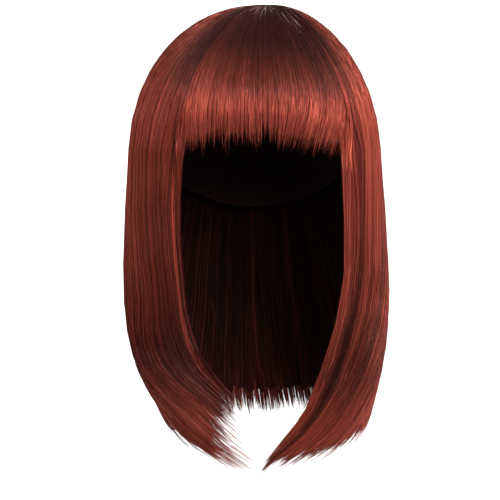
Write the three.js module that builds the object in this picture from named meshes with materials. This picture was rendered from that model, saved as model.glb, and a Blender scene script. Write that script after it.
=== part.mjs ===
// A shoulder-length bob wig with a full fringe: a plain cap that sits on the head, and locks of
// straight hair that spring from a swirl at the crown, run over the cap and hang below its rim.
// Millimetres, +Z up. The face looks along -Y. The origin is the crown of the head, inside the cap.
import * as THREE from "three";

// The head that the cap fits, from the origin
const headHalfWidth = 76;
const headFront = 94;
const headBack = 97;
const headRise = 98; // from the crown down to the head's widest level

// The cap
const capWall = 1.5;
const capFrontDepth = 50; // crown to rim, at the forehead
const capNapeDepth = 150; // crown to rim, at the nape
const napeTuck = 9; // how far the rim draws in under the back of the head

// The hair
const hairVolume = 19; // thickness of the hair at the head's widest level
const fringeVolume = 12; // thickness of the hair over the forehead
const hairDrop = 342; // crown to the longest ends
const fringeDrop = 106; // crown to the longest ends of the fringe
const edgeThickness = 4; // of a side piece along the face
const tipThickness = 1.4;
const fringeThinning = 0.7; // share of its length at which the fringe starts to thin to its tips
const hairThinning = 0.86; // the same for the hanging hair
const lockDepth = 2.6; // how deep the deepest furrow between two locks is
const lockSplit = 12; // how much shorter the hanging hair is in a furrow than on its lock
const fringeSplit = 8.5; // the same for the fringe
const swirlRadius = 5.5;
const swirlOffset = { x: 10, y: -8 }; // the swirl lies a little to one side and forward

// Clearances and mesh steps
const seatGap = 0.3; // hair to cap
const edgeGap = 0.2; // each piece of hair to the middle of the joint with the next
const domeRows = 8;
const fallRows = 9;
const lockColumns = 3;
const capRows = 10;
const capColumns = 44;
const swirlColumns = 16;

const quarterTurn = Math.PI / 2;
const fallLength = hairDrop - headRise; // from the head's widest level to the longest ends
const facetSag = headBack * (1 - Math.cos(quarterTurn / domeRows / 2));
const hairSeat = capWall + seatGap + facetSag; // how far outside the head the hair lies

// The hair over the cap, a row for each level. level runs from 0 at the crown to 1 at the head's widest
// level, thickness is a share of hairVolume, and the sweeps are the degrees that the hair on either
// side has turned towards the face.
const domeSections = [
  { level: 0.0, thickness: 0.5, sweepL: 18, sweepR: 6 },
  { level: 0.25, thickness: 0.62, sweepL: 15, sweepR: 4 },
  { level: 0.6, thickness: 0.8, sweepL: 6, sweepR: -2 },
  { level: 1.0, thickness: 1.0, sweepL: 0, sweepR: -4 },
];

// The hanging hair, a row for each level. level is a share of fallLength. width, front and back are the
// inner surface as shares of its size at the head's widest level, lean is its shift towards +X as a share
// of headHalfWidth, and the rest is as above.
const fallSections = [
  { level: 0.0, width: 1.0, front: 1.0, back: 1.0, lean: -0.015, sweepL: 0, sweepR: -4, thickness: 1.0 },
  { level: 0.2, width: 1.08, front: 0.94, back: 1.04, lean: -0.01, sweepL: 2, sweepR: 1, thickness: 0.85 },
  { level: 0.4, width: 1.135, front: 0.88, back: 1.03, lean: 0.0, sweepL: 8, sweepR: 6, thickness: 0.75 },
  { level: 0.55, width: 1.135, front: 0.82, back: 1.0, lean: 0.012, sweepL: 13, sweepR: 15, thickness: 0.7 },
  { level: 0.66, width: 1.1, front: 0.76, back: 0.95, lean: 0.03, sweepL: 22, sweepR: 24, thickness: 0.64 },
  { level: 0.74, width: 1.065, front: 0.7, back: 0.9, lean: 0.06, sweepL: 37, sweepR: 31, thickness: 0.6 },
  { level: 0.81, width: 1.02, front: 0.65, back: 0.84, lean: 0.09, sweepL: 51, sweepR: 39, thickness: 0.56 },
  { level: 0.87, width: 0.97, front: 0.6, back: 0.79, lean: 0.12, sweepL: 60, sweepR: 48, thickness: 0.53 },
  { level: 0.92, width: 0.9, front: 0.56, back: 0.73, lean: 0.15, sweepL: 68, sweepR: 59, thickness: 0.5 },
  { level: 0.96, width: 0.81, front: 0.53, back: 0.67, lean: 0.18, sweepL: 77, sweepR: 72, thickness: 0.47 },
  { level: 1.0, width: 0.64, front: 0.5, back: 0.6, lean: 0.2, sweepL: 86, sweepR: 84, thickness: 0.44 },
];

// Where the hair ends, a row for each direction round the head. turn is in degrees, 0 at the face and
// positive towards +X, and drop is a share of hairDrop.
const hairEnds = [
  { turn: -180, drop: 0.922 },
  { turn: -150, drop: 0.94 },
  { turn: -120, drop: 0.972 },
  { turn: -100, drop: 0.99 },
  { turn: -80, drop: 0.93 },
  { turn: -60, drop: 0.875 },
  { turn: -42, drop: 0.835 },
  { turn: 52, drop: 0.975 },
  { turn: 87, drop: 0.99 },
  { turn: 100, drop: 0.975 },
  { turn: 112, drop: 0.955 },
  { turn: 125, drop: 0.915 },
  { turn: 150, drop: 0.915 },
  { turn: 180, drop: 0.922 },
];

// Where the fringe ends, drop as a share of fringeDrop
const fringeEnds = [
  { turn: -42, drop: 0.98 },
  { turn: -18, drop: 0.95 },
  { turn: 5, drop: 0.94 },
  { turn: 28, drop: 0.97 },
  { turn: 52, drop: 1.0 },
];

const faceTurnLeft = -42; // where the fringe meets the side hair
const faceTurnRight = 52;
const backTurn = 118; // where the side hair gives way to the back, on both sides

const hairPieces = [
  { name: "fringe", from: faceTurnLeft, to: faceTurnRight, locks: 10, hangs: false },
  { name: "side_hair_left", from: -backTurn, to: faceTurnLeft, locks: 8, hangs: true },
  { name: "side_hair_right", from: faceTurnRight, to: backTurn, locks: 8, hangs: true },
  { name: "back_hair", from: backTurn, to: 360 - backTurn, locks: 13, hangs: true },
];

const materials = {
  cap: new THREE.MeshStandardMaterial({ color: 0x2a1614, roughness: 0.9, metalness: 0 }),
  hair: new THREE.MeshStandardMaterial({ color: 0x7a2a22, roughness: 0.45, metalness: 0 }),
  roots: new THREE.MeshStandardMaterial({ color: 0x4a2420, roughness: 0.6, metalness: 0 }),
};

// The value of one column at a place along the rows, on a smooth curve that leaves the first row level
function along(rows, column, place, key = "level") {
  const last = rows.length - 1;
  if (place <= rows[0][key]) return rows[0][column];
  if (place >= rows[last][key]) return rows[last][column];
  const i = rows.findIndex((row) => row[key] > place) - 1;
  const slope = (k) => {
    if (k === 0 || k === last) return 0;
    return (rows[k + 1][column] - rows[k - 1][column]) / (rows[k + 1][key] - rows[k - 1][key]);
  };
  const lastSpan = rows[last][key] - rows[last - 1][key];
  const endSlope = (rows[last][column] - rows[last - 1][column]) / lastSpan;
  const span = rows[i + 1][key] - rows[i][key];
  const t = (place - rows[i][key]) / span;
  const t2 = t * t;
  const t3 = t2 * t;
  const slopeIn = slope(i) * span;
  const slopeOut = (i + 1 === last ? endSlope : slope(i + 1)) * span;
  return (
    rows[i][column] * (2 * t3 - 3 * t2 + 1) +
    slopeIn * (t3 - 2 * t2 + t) +
    rows[i + 1][column] * (3 * t2 - 2 * t3) +
    slopeOut * (t3 - t2)
  );
}

// How far the hair at a place has turned towards the face, in radians
function sweepAt(turn, station) {
  const side = Math.sin(THREE.MathUtils.degToRad(turn)) < 0 ? "sweepL" : "sweepR";
  const degrees = station < 1 ? along(domeSections, side, station) : along(fallSections, side, station - 1);
  return THREE.MathUtils.degToRad(degrees) * Math.sin(THREE.MathUtils.degToRad(turn));
}

// A point that lies a distance outside the head. station runs from 0 at the crown to 1 at the widest
// level of the head and 2 at the longest ends, and turn is in degrees round the head.
function surfacePoint(turn, station, outside, swept = true) {
  const domeAngle = Math.min(station, 1) * quarterTurn;
  const fall = Math.max(station - 1, 0);
  const spread = Math.sin(domeAngle);
  const offCentre = (1 - spread) ** 2;
  const heading = THREE.MathUtils.degToRad(turn) - (swept ? sweepAt(turn, station) : 0);
  const halfWidth = (headHalfWidth + outside) * spread * along(fallSections, "width", fall);
  const ahead = Math.cos(heading) > 0;
  const reach = ahead
    ? (headFront + outside) * along(fallSections, "front", fall)
    : (headBack + outside) * along(fallSections, "back", fall);
  const lean = headHalfWidth * along(fallSections, "lean", fall) * spread;
  return new THREE.Vector3(
    lean + swirlOffset.x * offCentre + halfWidth * Math.sin(heading),
    swirlOffset.y * offCentre - reach * spread * Math.cos(heading),
    outside - (headRise + outside) * (1 - Math.cos(domeAngle)) - fallLength * fall,
  );
}

// The outward direction of that surface
function surfaceNormal(turn, station, outside) {
  const turnStep = 0.5;
  const stationStep = 0.004;
  const alongTurn = surfacePoint(turn + turnStep, station, outside).sub(
    surfacePoint(turn - turnStep, station, outside),
  );
  const alongFall = surfacePoint(turn, station + stationStep, outside).sub(
    surfacePoint(turn, Math.max(station - stationStep, 0), outside),
  );
  return alongFall.cross(alongTurn).normalize();
}

// The station at which the hair has dropped a distance below the crown
function stationAtDrop(drop) {
  if (drop > headRise) return 1 + (drop - headRise) / fallLength;
  return Math.acos(1 - (drop + hairSeat) / (headRise + hairSeat)) / quarterTurn;
}

// Thickness of the hair, before its locks and its tapers
function volumeAt(turn, station) {
  const { smoothstep, lerp, euclideanModulo } = THREE.MathUtils;
  const dome = station < 1;
  const share = along(dome ? domeSections : fallSections, "thickness", dome ? station : station - 1);
  const fromFace = Math.abs(euclideanModulo(turn + 180, 360) - 180);
  const sideShare = lerp(fringeVolume / hairVolume, 1, smoothstep(fromFace, 36, 80));
  return hairVolume * share * lerp(1, sideShare, smoothstep(station, 0, 0.5));
}

// A small steady variation from lock to lock, between -1 and 1
function lockVariation(lock, seed) {
  return Math.sin(lock * 2.4 + seed) * Math.cos(lock * 1.3 + 2 * seed);
}

// A closed geometry from a grid of outer points and the same grid of inner points
function wallGeometry(outer, inner, closedRound = false) {
  const rows = outer.length;
  const columns = outer[0].length;
  const positions = [...outer.flat(), ...inner.flat()].flatMap((point) => point.toArray());
  const index = [];
  const innerStart = rows * columns;
  const at = (row, column) => row * columns + (column % columns);
  const quad = (a, b, c, d) => index.push(a, b, c, a, c, d);
  const wraps = closedRound ? columns : columns - 1;
  for (let row = 0; row < rows - 1; row++) {
    for (let column = 0; column < wraps; column++) {
      const [a, b] = [at(row, column), at(row, column + 1)];
      const [c, d] = [at(row + 1, column + 1), at(row + 1, column)];
      quad(a, d, c, b);
      quad(innerStart + a, innerStart + b, innerStart + c, innerStart + d);
    }
  }
  for (let column = 0; column < wraps; column++) {
    const [top, topNext] = [at(0, column), at(0, column + 1)];
    const [low, lowNext] = [at(rows - 1, column), at(rows - 1, column + 1)];
    quad(top, topNext, innerStart + topNext, innerStart + top);
    quad(low, innerStart + low, innerStart + lowNext, lowNext);
  }
  if (!closedRound) {
    for (let row = 0; row < rows - 1; row++) {
      const [first, firstNext] = [at(row, 0), at(row + 1, 0)];
      const [end, endNext] = [at(row, columns - 1), at(row + 1, columns - 1)];
      quad(first, innerStart + first, innerStart + firstNext, firstNext);
      quad(end, endNext, innerStart + endNext, innerStart + end);
    }
  }
  const geometry = new THREE.BufferGeometry();
  geometry.setAttribute("position", new THREE.Float32BufferAttribute(positions, 3));
  geometry.setIndex(index);
  geometry.computeVertexNormals();
  return geometry;
}

// A closed dome from rings of outer and inner points, each with a single point at its crown
function domeGeometry(outerCrown, outerRings, innerCrown, innerRings) {
  const columns = outerRings[0].length;
  const rings = outerRings.length;
  const points = [outerCrown, ...outerRings.flat(), innerCrown, ...innerRings.flat()];
  const innerStart = 1 + rings * columns;
  const index = [];
  const at = (ring, column) => 1 + ring * columns + (column % columns);
  const quad = (a, b, c, d) => index.push(a, b, c, a, c, d);
  for (let column = 0; column < columns; column++) {
    index.push(0, at(0, column), at(0, column + 1));
    index.push(innerStart, innerStart + at(0, column + 1), innerStart + at(0, column));
    for (let ring = 0; ring < rings - 1; ring++) {
      const [a, b] = [at(ring, column), at(ring, column + 1)];
      const [c, d] = [at(ring + 1, column + 1), at(ring + 1, column)];
      quad(a, d, c, b);
      quad(innerStart + a, innerStart + b, innerStart + c, innerStart + d);
    }
    const [low, lowNext] = [at(rings - 1, column), at(rings - 1, column + 1)];
    quad(low, innerStart + low, innerStart + lowNext, lowNext);
  }
  const geometry = new THREE.BufferGeometry();
  const positions = points.flatMap((point) => point.toArray());
  geometry.setAttribute("position", new THREE.Float32BufferAttribute(positions, 3));
  geometry.setIndex(index);
  geometry.computeVertexNormals();
  return geometry;
}

function named(name, geometry, material) {
  const mesh = new THREE.Mesh(geometry, material);
  mesh.name = name;
  return mesh;
}

// The cap: a dome over the head whose rim runs from the forehead, past the ears, to the nape
function buildCap() {
  const capPoint = (turn, share, outside) => {
    const behind = (1 - Math.cos(THREE.MathUtils.degToRad(turn))) / 2;
    const rimDepth = THREE.MathUtils.lerp(capFrontDepth, capNapeDepth, behind);
    const rimAngle =
      rimDepth < headRise ? Math.acos(1 - rimDepth / headRise) : quarterTurn + rimDepth / headRise - 1;
    const angle = share * rimAngle;
    const below = Math.max(angle - quarterTurn, 0) * headRise;
    const tuck = (napeTuck / headBack) * (below / (capNapeDepth - headRise)) ** 2;
    const point = surfacePoint(turn, Math.min(angle / quarterTurn, 1), outside, false);
    point.x *= 1 - tuck;
    point.y *= 1 - tuck;
    point.z -= below;
    return point;
  };
  const rings = (outside) =>
    Array.from({ length: capRows }, (_, row) =>
      Array.from({ length: capColumns }, (_, column) =>
        capPoint((360 * column) / capColumns, (row + 1) / capRows, outside),
      ),
    );
  const crown = (outside) => surfacePoint(0, 0, outside);
  const geometry = domeGeometry(crown(capWall), rings(capWall), crown(0), rings(0));
  return named("cap", geometry, materials.cap);
}

// The stations of one column of hair, from its root to its end
function stationsTo(end, rows) {
  const { lerp } = THREE.MathUtils;
  const root = Math.asin(swirlRadius / headHalfWidth) / quarterTurn;
  const domeEnd = Math.min(end, 1);
  const dome = Array.from({ length: domeRows + 1 }, (_, row) => lerp(root, domeEnd, row / domeRows));
  const fall = Array.from({ length: rows }, (_, row) => lerp(1, end, (row + 1) / rows));
  return [...dome, ...fall];
}

// Where one column of a piece lies and where its hair ends
function columnOf(piece, index) {
  const { lerp } = THREE.MathUtils;
  const last = piece.locks * lockColumns;
  const lock = Math.floor(index / lockColumns);
  const inLock = index % lockColumns;
  const onEdge = index === 0 || index === last;
  const wander = onEdge || inLock > 0 ? 0 : 0.4 * lockVariation(lock, piece.locks);
  const turn = lerp(piece.from, piece.to, (index + wander) / last);
  const compass = turn > 180 ? turn - 360 : turn;
  const drop = piece.hangs
    ? hairDrop * along(hairEnds, "drop", compass, "turn")
    : fringeDrop * along(fringeEnds, "drop", compass, "turn");
  const split = piece.hangs ? lockSplit : fringeSplit;
  const shortBy = inLock === 0 ? split : split * (0.12 + 0.1 * lockVariation(index, piece.locks));
  return { turn, lock, inLock, onEdge, inward: index === 0 ? 1 : -1, end: stationAtDrop(drop - shortBy) };
}

// Thickness of one column of a piece of hair at a station
function thicknessAt(piece, column, station, root) {
  const { smoothstep, lerp } = THREE.MathUtils;
  const fromRoot = (station - root) / (column.end - root);
  const inFurrow = column.inLock === 0 && !column.onEdge;
  const furrow = inFurrow ? 0.7 + 0.3 * lockVariation(column.lock, 1) : 0;
  const crest = column.inLock > 0 ? 0.35 * lockVariation(column.lock + 0.5 * column.inLock, 3) : 0;
  const relief = lockDepth * (crest - furrow) * smoothstep(fromRoot, 0.02, 0.4);
  const thinning = smoothstep(fromRoot, piece.hangs ? hairThinning : fringeThinning, 1);
  const thickness = lerp(volumeAt(column.turn, station) + relief, tipThickness, thinning);
  const besideFace = piece.hangs && column.onEdge && Math.abs(column.turn) < 90;
  if (!besideFace) return thickness;
  return lerp(thickness, Math.min(edgeThickness, thickness), smoothstep(station, 0.6, 1.1));
}

// One piece of hair, a wall of fused locks with furrows between them and split ends
function buildHair(piece) {
  const outer = [];
  const inner = [];
  for (let index = 0; index <= piece.locks * lockColumns; index++) {
    const column = columnOf(piece, index);
    const stations = stationsTo(column.end, piece.hangs ? fallRows : 0);
    stations.forEach((station, row) => {
      const oneDegree = surfacePoint(column.turn + 0.5, station, hairSeat).distanceTo(
        surfacePoint(column.turn - 0.5, station, hairSeat),
      );
      const setBack = column.onEdge ? (column.inward * edgeGap) / oneDegree : 0;
      const base = surfacePoint(column.turn + setBack, station, hairSeat);
      const normal = surfaceNormal(column.turn + setBack, station, hairSeat);
      const thickness = thicknessAt(piece, column, station, stations[0]);
      inner[row] = [...(inner[row] ?? []), base];
      outer[row] = [...(outer[row] ?? []), base.clone().addScaledVector(normal, thickness)];
    });
  }
  return named(piece.name, wallGeometry(outer, inner), materials.hair);
}

// The swirl at the crown, a low button of hair from which the locks spring
function buildSwirl() {
  const rim = Math.asin((swirlRadius - 2 * edgeGap) / headHalfWidth) / quarterTurn;
  const height = hairVolume * domeSections[0].thickness;
  const ring = (share, outside) =>
    Array.from({ length: swirlColumns }, (_, column) =>
      surfacePoint((360 * column) / swirlColumns, rim * share, hairSeat + outside),
    );
  const geometry = domeGeometry(
    surfacePoint(0, 0, hairSeat + 0.8 * height),
    [ring(0.55, 0.9 * height), ring(0.95, 0.97 * height), ring(0.97, 0.3 * height)],
    surfacePoint(0, 0, hairSeat),
    [ring(0.5, 0), ring(0.8, 0), ring(0.97, 0)],
  );
  return named("crown_swirl", geometry, materials.roots);
}

const wig = new THREE.Group();
wig.add(buildCap());
wig.add(buildSwirl());
for (const piece of hairPieces) {
  wig.add(buildHair(piece));
}

export default wig;
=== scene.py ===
"""A straight bob wig with a full fringe: fine locks over an open cap, in metres, +Z up, front to -Y."""

import logging
import math
from dataclasses import dataclass, field, replace
from enum import Enum

import bpy
import numpy as np
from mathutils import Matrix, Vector


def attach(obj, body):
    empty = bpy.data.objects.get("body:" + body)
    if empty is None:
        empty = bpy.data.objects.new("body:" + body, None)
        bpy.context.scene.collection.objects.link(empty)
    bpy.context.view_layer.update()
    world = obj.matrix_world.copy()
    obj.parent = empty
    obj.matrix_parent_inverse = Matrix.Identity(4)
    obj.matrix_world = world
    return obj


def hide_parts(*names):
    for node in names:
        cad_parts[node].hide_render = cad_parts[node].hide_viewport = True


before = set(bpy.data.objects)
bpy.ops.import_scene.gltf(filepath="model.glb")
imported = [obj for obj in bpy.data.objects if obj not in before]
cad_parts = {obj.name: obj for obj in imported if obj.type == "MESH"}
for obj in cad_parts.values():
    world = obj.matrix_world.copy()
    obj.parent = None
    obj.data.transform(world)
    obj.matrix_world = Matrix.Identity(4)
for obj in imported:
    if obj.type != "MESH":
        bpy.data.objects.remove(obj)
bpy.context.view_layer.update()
LOG = logging.getLogger("bob_wig")
Array = np.ndarray
Colour = tuple[float, float, float]
Spot = tuple[float, float, float]
Span = tuple[float, float]
Inputs = dict[str | int, object]
MM = 0.001
UV_MAP = "OFBake"
TINY = 1e-12

# Steps of the differences that give the hair's outward direction, in degrees and in stations
STEP_ROUND = 0.5
STEP_DOWN = 0.004

# Where along a strand something sets in and where it is full, as shares of the way from root to end
FURROWS: Span = (0.05, 0.5)
GATHERING: Span = (0.45, 1.0)
WAVING: Span = (0.1, 1.0)
CURLING: Span = (0.8, 1.1)
TUFTING: Span = (0.88, 1.03)
DRIFTING: Span = (0.72, 1.15)
LOOSENING: Span = (0.6, 1.0)
FRINGE_TAPER: Span = (0.7, 1.0)
INNER_TIPS: Span = (0.86, 1.0)

# The same in stations, which are 0 at the crown, 1 at the widest level and 2 at the longest ends
STEERING: Span = (1.42, 1.8)
EDGE_THINNING: Span = (0.6, 1.1)
OVERLAP_ON: Span = (0.1, 0.4)
OVERLAP_OFF: Span = (0.8, 1.1)
HANGING_KNOTS = (0, 0.22, 0.4, 0.53, 0.63, 0.71, 0.79, 0.86, 0.92, 0.97, 1.0)


def smoothstep(value: Array, low: float, high: float) -> Array:
    """Ease a value from 0 at the low limit to 1 at the high one."""
    t = np.clip((value - low) / (high - low), 0.0, 1.0)
    return t * t * (3.0 - 2.0 * t)


def mix(first: Array, second: Array, share: Array) -> Array:
    """Blend from the first value at share 0 to the second at share 1."""
    return first + (second - first) * share


def compass(turn: Array) -> Array:
    """Bring turns into the range from -180 to 180 degrees."""
    return (turn + 180.0) % 360.0 - 180.0


def unit(vectors: Array) -> Array:
    """Bring the vectors along the last axis to length 1."""
    return vectors / np.maximum(np.linalg.norm(vectors, axis=-1, keepdims=True), TINY)


def opaque(colour: Colour) -> tuple[float, ...]:
    """Give a colour full cover."""
    return (*colour, 1)


def store(mesh: bpy.types.Mesh, name: str, values: Array) -> None:
    """Keep a value for each point of a mesh in an attribute."""
    mesh.attributes.new(name, "FLOAT", "POINT").data.foreach_set("value", values.astype(np.float32))


@dataclass(frozen=True)
class SmoothTable:
    """A short table of named columns, read on a smooth curve along its first column."""

    columns: tuple[str, ...]
    rows: tuple[tuple[float, ...], ...]

    def at(self, column: str, place: Array) -> Array:
        """Read a column at places along the table.

        Args:
            column: The column's name.
            place: Places along the first column.

        Returns:
            The column's values there.
        """
        table = np.asarray(self.rows, dtype=float)
        x, y = table[:, 0], table[:, self.columns.index(column)]
        slope = np.zeros(len(x))
        slope[1:-1] = (y[2:] - y[:-2]) / (x[2:] - x[:-2])
        slope[-1] = (y[-1] - y[-2]) / (x[-1] - x[-2])
        p = np.clip(place, x[0], x[-1])
        i = np.clip(np.searchsorted(x, p, side="right") - 1, 0, len(x) - 2)
        span = x[i + 1] - x[i]
        t = (p - x[i]) / span
        t2, t3 = t * t, t * t * t
        return (
            y[i] * (2 * t3 - 3 * t2 + 1)
            + slope[i] * span * (t3 - 2 * t2 + t)
            + y[i + 1] * (3 * t2 - 2 * t3)
            + slope[i + 1] * span * (t3 - t2)
        )


@dataclass(frozen=True)
class HairFlow:
    """The way the hair falls from the crown, over the dome and down to its ends."""

    half_width: float = 76 * MM
    front: float = 94 * MM
    back: float = 97 * MM
    rise: float = 98 * MM
    drop: float = 342 * MM
    fringe_drop: float = 106 * MM
    seat: float = 2.3 * MM
    volume: float = 19 * MM
    fringe_volume: float = 12 * MM
    swirl_x: float = 10 * MM
    swirl_y: float = -8 * MM
    over_head: SmoothTable = SmoothTable(
        ("level", "thickness", "left", "right"),
        (
            (0.0, 0.5, 18, 6),
            (0.25, 0.62, 15, 4),
            (0.6, 0.8, 6, -2),
            (1.0, 1.0, 0, -4),
        ),
    )
    hanging: SmoothTable = SmoothTable(
        ("level", "width", "front", "back", "lean", "left", "right", "thickness"),
        (
            (0.0, 1.0, 1.0, 1.0, -0.015, 0, -4, 1.0),
            (0.2, 1.08, 0.94, 1.04, -0.01, 2, 1, 0.85),
            (0.4, 1.135, 0.88, 1.03, 0.0, 8, 6, 0.75),
            (0.55, 1.135, 0.82, 1.0, 0.012, 13, 15, 0.7),
            (0.66, 1.1, 0.76, 0.95, 0.03, 22, 24, 0.64),
            (0.74, 1.065, 0.7, 0.9, 0.06, 37, 31, 0.6),
            (0.81, 1.02, 0.65, 0.84, 0.09, 51, 39, 0.56),
            (0.87, 0.97, 0.6, 0.79, 0.12, 60, 48, 0.53),
            (0.92, 0.9, 0.56, 0.73, 0.15, 68, 59, 0.5),
            (0.96, 0.81, 0.53, 0.67, 0.18, 77, 72, 0.47),
            (1.0, 0.64, 0.5, 0.6, 0.2, 86, 84, 0.44),
        ),
    )
    ends: SmoothTable = SmoothTable(
        ("turn", "drop"),
        (
            (-180, 0.922),
            (-150, 0.94),
            (-120, 0.972),
            (-100, 0.99),
            (-80, 0.93),
            (-60, 0.875),
            (-42, 0.835),
            (52, 0.975),
            (87, 0.99),
            (100, 0.975),
            (112, 0.955),
            (125, 0.915),
            (150, 0.915),
            (180, 0.922),
        ),
    )
    fringe_ends: SmoothTable = SmoothTable(
        ("turn", "drop"),
        (
            (-42, 0.98),
            (-18, 0.95),
            (5, 0.94),
            (28, 0.97),
            (52, 1.0),
        ),
    )

    def _section(self, column: str, station: Array) -> Array:
        """Read a column that both tables share, over the dome and below it."""
        over = self.over_head.at(column, station)
        return np.where(station < 1, over, self.hanging.at(column, station - 1))

    def point(self, turn: Array, station: Array, outside: Array) -> Array:
        """Find points of the hair.

        Args:
            turn: Degrees round the wig, 0 at the front and positive towards +X.
            station: 0 at the crown, 1 at the widest level, 2 at the longest ends.
            outside: Distance outside the innermost surface.

        Returns:
            The points, with x, y and z along the last axis.
        """
        turn, station, outside = np.broadcast_arrays(turn, station, outside)
        around = np.radians(turn)
        dome = np.minimum(station, 1.0) * math.pi / 2
        fall = np.maximum(station - 1.0, 0.0)
        spread = np.sin(dome)
        off_centre = (1.0 - spread) ** 2
        left, right = self._section("left", station), self._section("right", station)
        sweep = np.where(np.sin(around) < 0, left, right)
        heading = around - np.radians(sweep) * np.sin(around)
        across = (self.half_width + outside) * spread * self.hanging.at("width", fall)
        ahead = (self.front + outside) * self.hanging.at("front", fall)
        behind = (self.back + outside) * self.hanging.at("back", fall)
        reach = np.where(np.cos(heading) > 0, ahead, behind) * spread
        lean = self.half_width * self.hanging.at("lean", fall) * spread
        return np.stack(
            [
                lean + self.swirl_x * off_centre + across * np.sin(heading),
                self.swirl_y * off_centre - reach * np.cos(heading),
                outside - (self.rise + outside) * (1.0 - np.cos(dome)) - (self.drop - self.rise) * fall,
            ],
            axis=-1,
        )

    def outward(self, turn: Array, station: Array) -> Array:
        """Find the outward direction of the hair's inner surface.

        Args:
            turn: Degrees round the wig.
            station: Stations down the hair.

        Returns:
            Unit vectors.
        """
        before = self.point(turn - STEP_ROUND, station, self.seat)
        after = self.point(turn + STEP_ROUND, station, self.seat)
        above = self.point(turn, np.maximum(station - STEP_DOWN, 0.0), self.seat)
        below = self.point(turn, station + STEP_DOWN, self.seat)
        return unit(np.cross(below - above, after - before))

    def thickness(self, turn: Array, station: Array) -> Array:
        """Find how thick the hair is before it thins to its tips.

        Args:
            turn: Degrees round the wig.
            station: Stations down the hair.

        Returns:
            Thicknesses in metres.
        """
        side = mix(self.fringe_volume / self.volume, 1.0, smoothstep(np.abs(compass(turn)), 36.0, 80.0))
        share = self._section("thickness", station)
        return self.volume * share * mix(1.0, side, smoothstep(station, 0.0, 0.5))

    def station_at(self, drop: Array) -> Array:
        """Find the station at which the hair has dropped a distance below the crown."""
        bent = np.arccos(np.clip(1 - (drop + self.seat) / (self.rise + self.seat), -1, 1)) / (math.pi / 2)
        return np.where(drop > self.rise, 1 + (drop - self.rise) / (self.drop - self.rise), bent)


class Layer(Enum):
    """Where in the thickness of the hair a run of strands lies."""

    OUTER = "outer"
    ENDS = "ends"
    FACE_EDGE = "face edge"
    INNER = "inner"
    STRAY = "stray"


class Bench:
    """A material being wired, with its shader."""

    def __init__(self, name: str) -> None:
        """Start a material.

        Args:
            name: The material's name.
        """
        self.material = bpy.data.materials.new(name)
        self.material.use_nodes = True
        self.tree = self.material.node_tree
        self.shader = self.tree.nodes["Principled BSDF"]

    def feed(self, node: bpy.types.Node, inputs: Inputs) -> None:
        """Link sockets to a node's inputs, or set them to values.

        Args:
            node: The node.
            inputs: A socket or a value for each input.
        """
        for key, value in inputs.items():
            if isinstance(value, bpy.types.NodeSocket):
                self.tree.links.new(value, node.inputs[key])
            else:
                node.inputs[key].default_value = value

    def add(self, kind: str, inputs: Inputs, **settings: str) -> bpy.types.Node:
        """Add a node.

        Args:
            kind: The node's type.
            inputs: A socket or a value for each input.
            settings: The node's own settings.

        Returns:
            The node.
        """
        node = self.tree.nodes.new(kind)
        for label, value in settings.items():
            setattr(node, label, value)
        self.feed(node, inputs)
        return node

    def blend(self, share: bpy.types.NodeSocket, first: object, second: object) -> bpy.types.NodeSocket:
        """Mix two colours, each given as a value or a socket."""
        inputs = {"Factor": share, "A": first, "B": second}
        return self.add("ShaderNodeMix", inputs, data_type="RGBA").outputs["Result"]

    def emboss(self, height: bpy.types.NodeSocket, depth: float, strength: float) -> None:
        """Give the surface a fine relief, with its depth in metres."""
        bump = self.add("ShaderNodeBump", {"Height": height, "Distance": depth, "Strength": strength})
        self.feed(self.shader, {"Normal": bump.outputs["Normal"]})


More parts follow.
